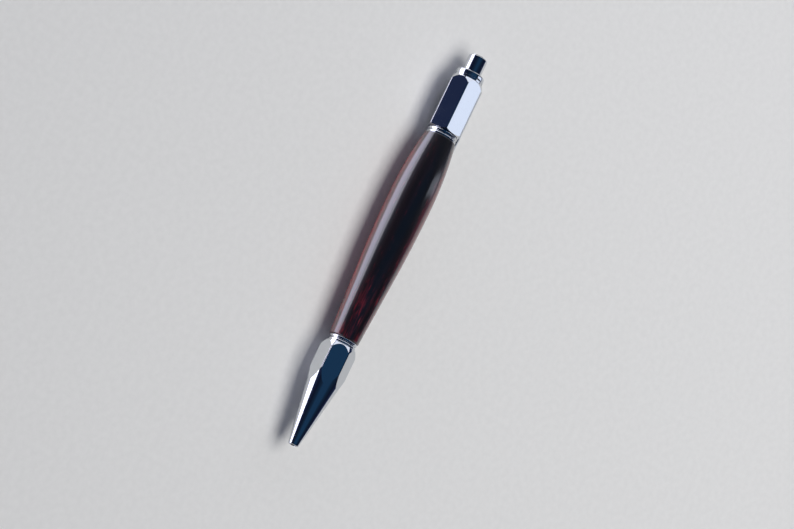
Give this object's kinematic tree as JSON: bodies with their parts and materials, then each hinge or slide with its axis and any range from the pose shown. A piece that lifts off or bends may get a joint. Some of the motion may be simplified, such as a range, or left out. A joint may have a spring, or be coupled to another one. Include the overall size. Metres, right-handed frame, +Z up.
{
  "type": "ballpoint pen",
  "caption": "Push-button ball pen with a turned, lacquered hardwood barrel, hexagonal chromed nose and cap, double trim rings and a pocket clip",
  "frame": {"origin": "Middle of the pen's length and width, on the table it lies on.", "axes": "+X runs along the pen from its tip to its button. +Z is up. The pocket clip is on the -Y side, below the axis, with one edge on the table."},
  "size_m": [0.1373, 0.0156, 0.0144],
  "materials": {
    "chromed_brass": "polished chrome plate on brass",
    "chromed_steel": "polished chrome plate on spring steel",
    "brass_bush": "machined brass",
    "brass_tube": "drawn brass",
    "lacquered_hardwood": "turned hardwood under a high gloss lacquer",
    "mechanism_plastic": "moulded acetal",
    "white_acetal": "moulded acetal",
    "plug_plastic": "moulded plastic",
    "refill_steel": "drawn stainless steel",
    "nickel_silver": "turned nickel silver",
    "carbide": "polished tungsten carbide",
    "ink": "paste ink",
    "spring_steel": "drawn spring steel"
  },
  "bodies": {
    "barrel": {"wood_barrel": "lacquered_hardwood", "barrel_tube": "brass_tube", "front_coupling": "brass_bush", "front_trim_ring": "chromed_brass", "rear_trim_ring": "chromed_brass", "rear_coupling": "brass_bush", "hex_cap": "chromed_brass", "clip_ring": "chromed_steel", "collar": "chromed_brass", "cam_sleeve": "mechanism_plastic", "mechanism_nut": "brass_bush"},
    "nose": {"nose_cone": "chromed_brass", "return_spring": "spring_steel"},
    "clip": {"clip_arm": "chromed_steel"},
    "button": {"push_button": "chromed_brass", "plunger": "white_acetal"},
    "refill": {"refill_tube": "refill_steel", "refill_plug": "plug_plastic", "ink_column": "ink", "refill_neck": "refill_steel", "refill_point": "nickel_silver"},
    "rotor": {"cam_rotor": "white_acetal"},
    "ball": {"writing_ball": "carbide"}
  },
  "joints": [
    {"name": "button_press", "type": "slide", "parent": "barrel", "child": "button", "axis": [-1, 0, 0], "range_m": [0, 0.0052], "stiffness_N_per_m": 500, "springref_m": -0.003},
    {"name": "refill_advance", "type": "slide", "parent": "barrel", "child": "refill", "axis": [-1, 0, 0], "range_m": [0, 0.0052], "deforming": ["return_spring"]},
    {"name": "rotor_turn", "type": "hinge", "parent": "refill", "child": "rotor", "pos_m": [0.03435, 0.00063, 0.0072], "axis": [1, 0, 0], "range_deg": [0, 45]},
    {"name": "ball_roll", "type": "hinge", "parent": "refill", "child": "ball", "pos_m": [-0.06675, 0.00063, 0.0072], "axis": [0, 1, 0], "continuous": true},
    {"name": "clip_flex", "type": "hinge", "parent": "barrel", "child": "clip", "pos_m": [0.06075, -0.00468, 0.0032], "axis": [0, -0.6018, 0.7986], "range_deg": [0, 4], "stiffness_Nm_per_rad": 1.2, "springref_deg": -2.86},
    {"name": "nose_unscrew", "type": "slide", "parent": "barrel", "child": "nose", "axis": [-1, 0, 0], "range_m": [0, 0.045]}
  ],
  "couplings": [
    {"joint": "refill_advance", "follows": "button_press", "ratio": 1},
    {"joint": "rotor_turn", "follows": "button_press", "rad_per_m": 151.04}
  ]
}
